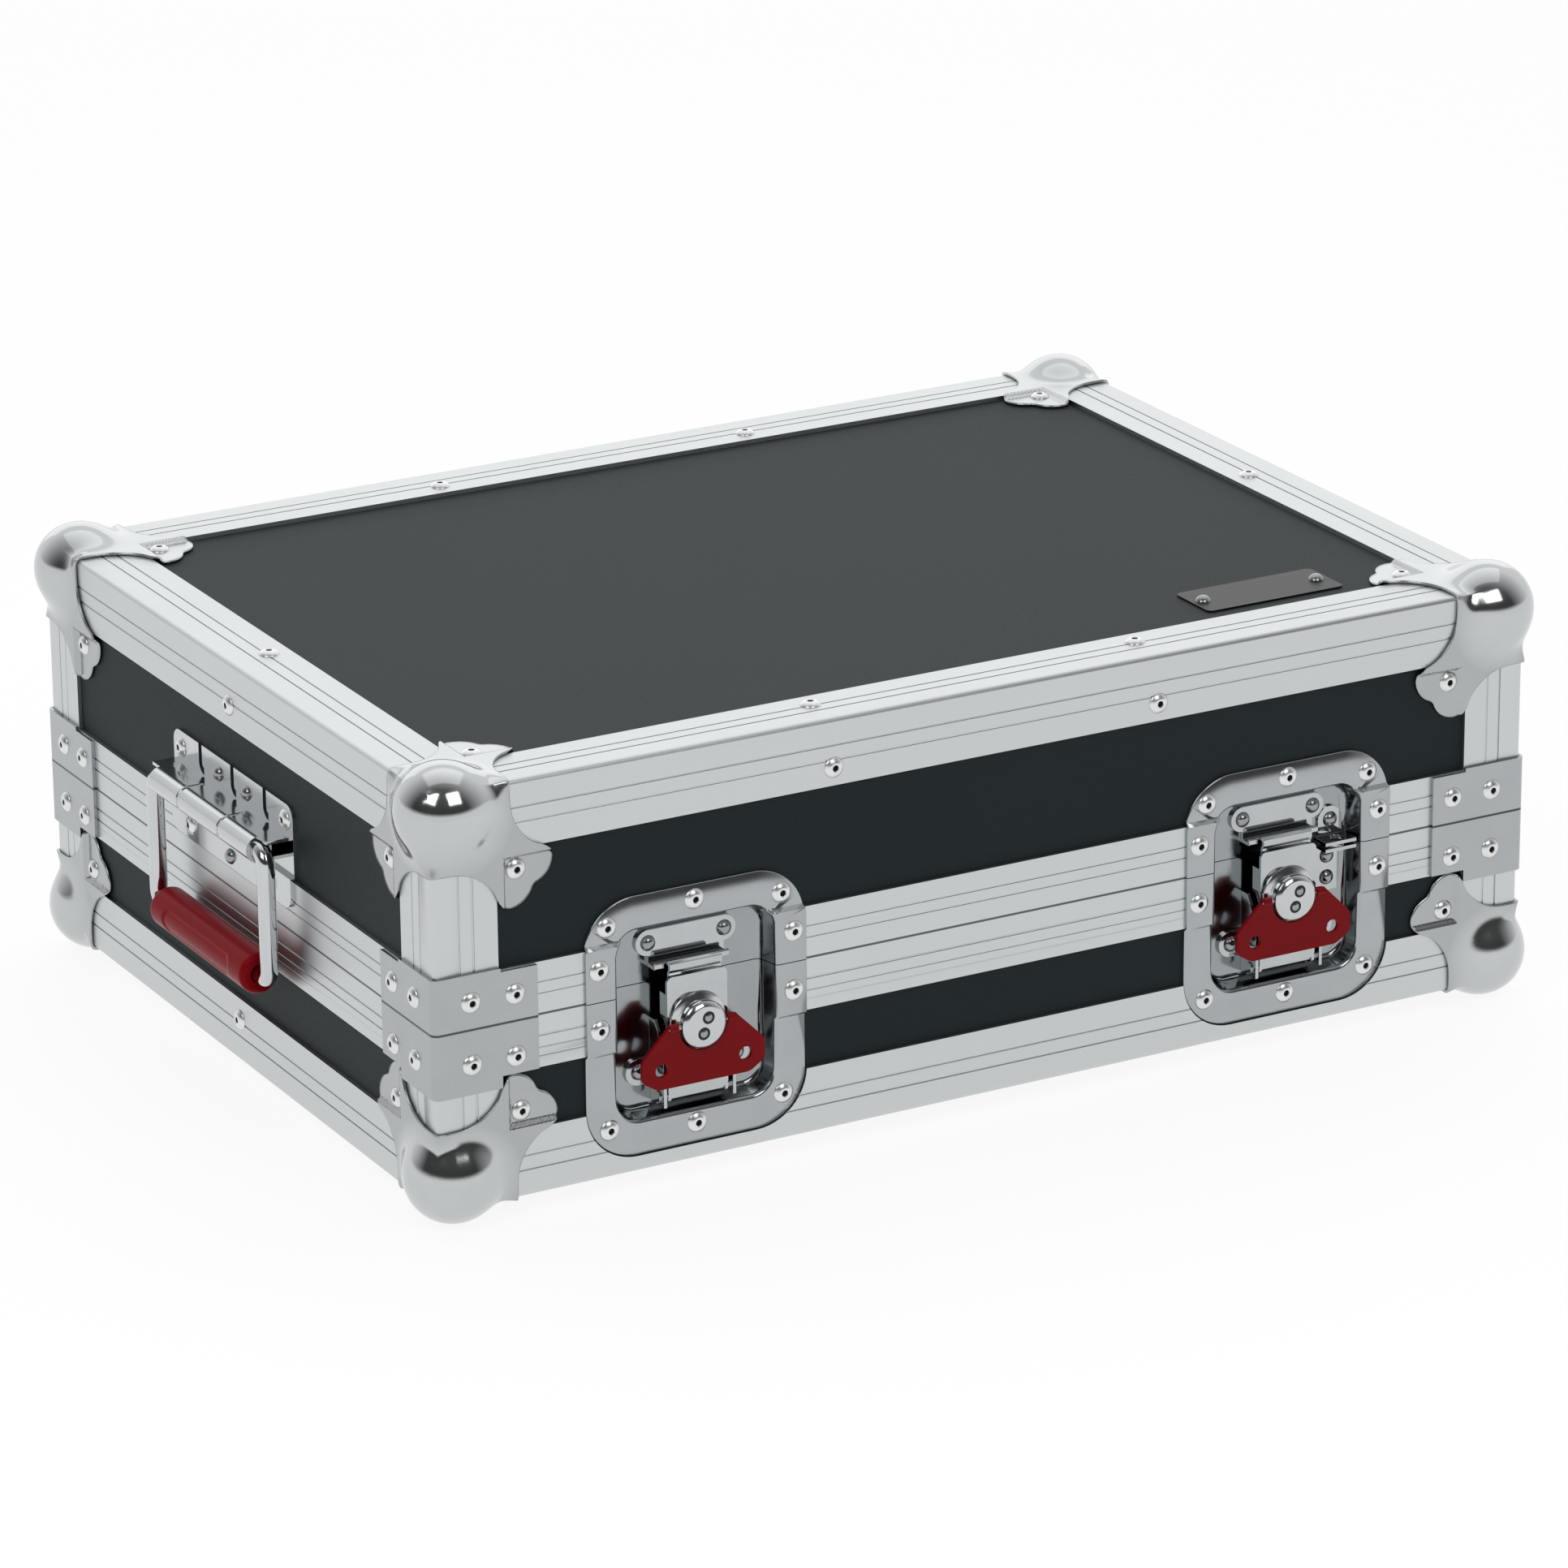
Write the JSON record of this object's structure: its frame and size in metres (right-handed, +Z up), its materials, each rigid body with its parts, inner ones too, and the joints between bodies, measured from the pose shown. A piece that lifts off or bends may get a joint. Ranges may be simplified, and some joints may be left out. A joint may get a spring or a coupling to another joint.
{
  "type": "flight case",
  "caption": "Lidded flight case with aluminium edges, ball corners, recessed butterfly latches, folding side handles and a foam-lined, divided interior.",
  "frame": {"origin": "centre of the plane that the four lower ball corners stand on", "axes": "+X along the case towards the latch with the hasp, -Y out of the latch side, +Z up"},
  "size_m": [0.5786, 0.408, 0.2035],
  "materials": {
    "laminate": "black textured laminate on plywood",
    "aluminium": "satin anodised extrusion",
    "zinc_steel": "bright zinc plated pressed steel",
    "chrome": "polished nickel plate",
    "rivet": "bright plated rivets",
    "red_grip": "smooth red moulded grip",
    "red_wing": "semi-gloss red powder coat",
    "foam": "charcoal foam",
    "badge": "black satin"
  },
  "bodies": {
    "base": {"base_bottom_panel": "laminate", "base_front_panel": "laminate", "base_back_panel": "laminate", "base_end_panels": "laminate", "base_long_rails": "aluminium", "base_end_rails": "aluminium", "base_corner_posts": "aluminium", "base_tongue_frame": "aluminium", "base_ball_corners": "zinc_steel", "base_seam_clamps": "zinc_steel", "base_rivets": "rivet", "base_foam_floor": "foam", "base_foam_walls": "foam", "dividers_long": "foam", "dividers_cross": "foam", "hinge_leaves_base": "zinc_steel", "hinge_pins": "chrome", "latch_dish_lower_left": "zinc_steel", "latch_dish_lower_right": "zinc_steel", "latch_bracket_left": "zinc_steel", "latch_bracket_right": "zinc_steel", "latch_pin_left": "chrome", "latch_pin_right": "chrome", "hasp_leaf_base": "zinc_steel"},
    "lid": {"lid_top_panel": "laminate", "lid_front_panel": "laminate", "lid_back_panel": "laminate", "lid_end_panels": "laminate", "lid_long_rails": "aluminium", "lid_end_rails": "aluminium", "lid_corner_posts": "aluminium", "lid_groove_frame": "aluminium", "lid_ball_corners": "zinc_steel", "lid_seam_clamps": "zinc_steel", "lid_rivets": "rivet", "lid_foam_pad": "foam", "lid_foam_walls": "foam", "badge_plate": "badge", "hinge_leaves_lid": "zinc_steel", "latch_dish_upper_left": "zinc_steel", "latch_dish_upper_right": "zinc_steel", "latch_keeper_left": "zinc_steel", "latch_keeper_right": "zinc_steel", "hasp_tab_lid": "zinc_steel", "handle_plate_left": "zinc_steel", "handle_plate_right": "zinc_steel"},
    "bail_left": {"bail_left": "chrome", "grip_left": "red_grip"},
    "latch_arm_left": {"latch_arm_left": "chrome"},
    "latch_hook_left": {"latch_hook_left": "chrome"},
    "latch_hub_left": {"latch_hub_left": "chrome"},
    "latch_wing_left": {"latch_wing_left": "red_wing"},
    "bail_right": {"bail_right": "chrome", "grip_right": "red_grip"},
    "latch_arm_right": {"latch_arm_right": "chrome"},
    "latch_hook_right": {"latch_hook_right": "chrome"},
    "latch_hub_right": {"latch_hub_right": "chrome"},
    "latch_wing_right": {"latch_wing_right": "red_wing"}
  },
  "joints": [
    {"name": "lid_hinge", "type": "hinge", "parent": "base", "child": "lid", "pos_m": [0, 0.1996, 0.0895], "axis": [-1, 0, 0], "range_deg": [0, 100]},
    {"name": "left_handle", "type": "hinge", "parent": "lid", "child": "bail_left", "pos_m": [-0.28, 0, 0.1267], "axis": [0, 1, 0], "range_deg": [0, 90]},
    {"name": "left_latch_swing", "type": "hinge", "parent": "base", "child": "latch_arm_left", "pos_m": [-0.147, -0.1926, 0.04], "axis": [1, 0, 0], "range_deg": [0, 70]},
    {"name": "left_latch_turn", "type": "hinge", "parent": "latch_arm_left", "child": "latch_hub_left", "pos_m": [-0.147, -0.2003, 0.0724], "axis": [0, -1, 0], "range_deg": [0, 180]},
    {"name": "left_hook_slide", "type": "slide", "parent": "latch_arm_left", "child": "latch_hook_left", "axis": [0, 0, 1], "range_m": [0, 0.0071]},
    {"name": "left_wing_fold", "type": "hinge", "parent": "latch_hub_left", "child": "latch_wing_left", "pos_m": [-0.147, -0.2003, 0.0724], "axis": [-1, 0, 0], "range_deg": [0, 90]},
    {"name": "right_handle", "type": "hinge", "parent": "lid", "child": "bail_right", "pos_m": [0.28, 0, 0.1267], "axis": [0, -1, 0], "range_deg": [0, 90]},
    {"name": "right_latch_swing", "type": "hinge", "parent": "base", "child": "latch_arm_right", "pos_m": [0.147, -0.1926, 0.04], "axis": [1, 0, 0], "range_deg": [0, 70]},
    {"name": "right_latch_turn", "type": "hinge", "parent": "latch_arm_right", "child": "latch_hub_right", "pos_m": [0.147, -0.2003, 0.0724], "axis": [0, -1, 0], "range_deg": [0, 180]},
    {"name": "right_hook_slide", "type": "slide", "parent": "latch_arm_right", "child": "latch_hook_right", "axis": [0, 0, 1], "range_m": [0, 0.0071]},
    {"name": "right_wing_fold", "type": "hinge", "parent": "latch_hub_right", "child": "latch_wing_right", "pos_m": [0.147, -0.2003, 0.0724], "axis": [-1, 0, 0], "range_deg": [0, 90]}
  ],
  "couplings": [
    {"joint": "left_hook_slide", "follows": "left_latch_turn", "m_per_rad": 0.002228},
    {"joint": "right_hook_slide", "follows": "right_latch_turn", "m_per_rad": 0.002228}
  ]
}
